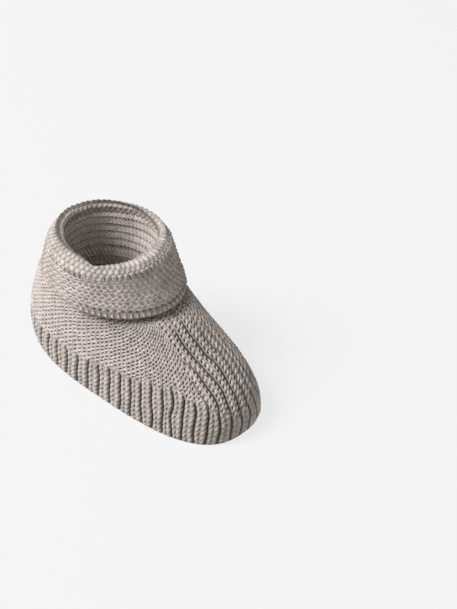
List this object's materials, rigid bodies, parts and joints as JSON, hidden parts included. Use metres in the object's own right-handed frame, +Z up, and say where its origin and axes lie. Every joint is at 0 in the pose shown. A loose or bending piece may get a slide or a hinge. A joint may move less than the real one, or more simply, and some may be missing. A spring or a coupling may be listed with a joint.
{
  "type": "baby bootie",
  "caption": "Soft knitted baby bootie with a ribbed sole and side band, a plain knitted upper, a jersey lining and an ankle collar folded over into a turned cuff.",
  "frame": {"origin": "middle of the footprint, on the flat face under the sole", "axes": "+Z up; -Y towards the toe, +Y towards the heel; +X across the foot; X = 0 is the mid plane"},
  "size_m": [0.0482, 0.1022, 0.0504],
  "materials": {
    "body_knit": "warm taupe cotton yarn, fine purl-side knit, matt",
    "rib_knit": "warm taupe cotton yarn, ribs two stitches wide with deep grooves, matt",
    "cuff_knit": "warm taupe cotton yarn, fine cross-wise knit, matt",
    "edge_yarn": "bound-off edge, a row of chain stitches in the same yarn, matt",
    "seam_yarn": "linked seam in the same yarn, matt",
    "jersey_lining": "smooth cotton jersey, matt"
  },
  "bodies": {
    "foot": {"rib_sole": "rib_knit", "rib_side_band": "rib_knit", "knitted_upper": "body_knit", "ankle_collar": "cuff_knit", "lining_insole": "jersey_lining", "lining_upper": "jersey_lining", "lining_edge_seam": "seam_yarn", "toe_seam": "seam_yarn", "band_seam": "seam_yarn", "heel_seam": "seam_yarn", "collar_join_seam": "seam_yarn"},
    "cuff": {"turned_cuff": "cuff_knit", "folded_rim": "cuff_knit", "cuff_hem_edge": "edge_yarn", "cuff_back_seam": "seam_yarn"}
  },
  "joints": [
    {"name": "cuff_turn_up", "type": "slide", "parent": "foot", "child": "cuff", "axis": [0, 0, 1], "range_m": [0, 0.012]}
  ]
}
